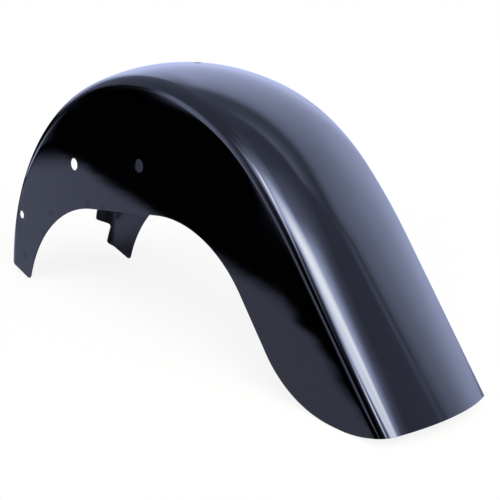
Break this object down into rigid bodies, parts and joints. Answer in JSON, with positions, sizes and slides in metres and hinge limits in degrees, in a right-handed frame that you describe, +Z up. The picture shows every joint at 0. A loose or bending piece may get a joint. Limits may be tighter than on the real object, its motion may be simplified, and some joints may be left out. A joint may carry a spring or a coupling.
{
  "type": "motorcycle rear fender",
  "caption": "One-piece pressed steel motorcycle rear fender, gloss black, with domed crown, flat side skirts, forked front legs, strut bolt holes and a straight drooping tail.",
  "frame": {"origin": "middle of the bounding box's underside: the floor under the fender as it stands on its two front leg tips and the belly of the tail", "axes": "+X to the rear (tail), +Y to the rider's right, +Z up; the middle plane of the fender is Y = 0"},
  "size_m": [0.7642, 0.19, 0.3508],
  "materials": {
    "black_paint": "gloss"
  },
  "bodies": {
    "root": {"fender_shell": "black_paint"}
  },
  "joints": []
}
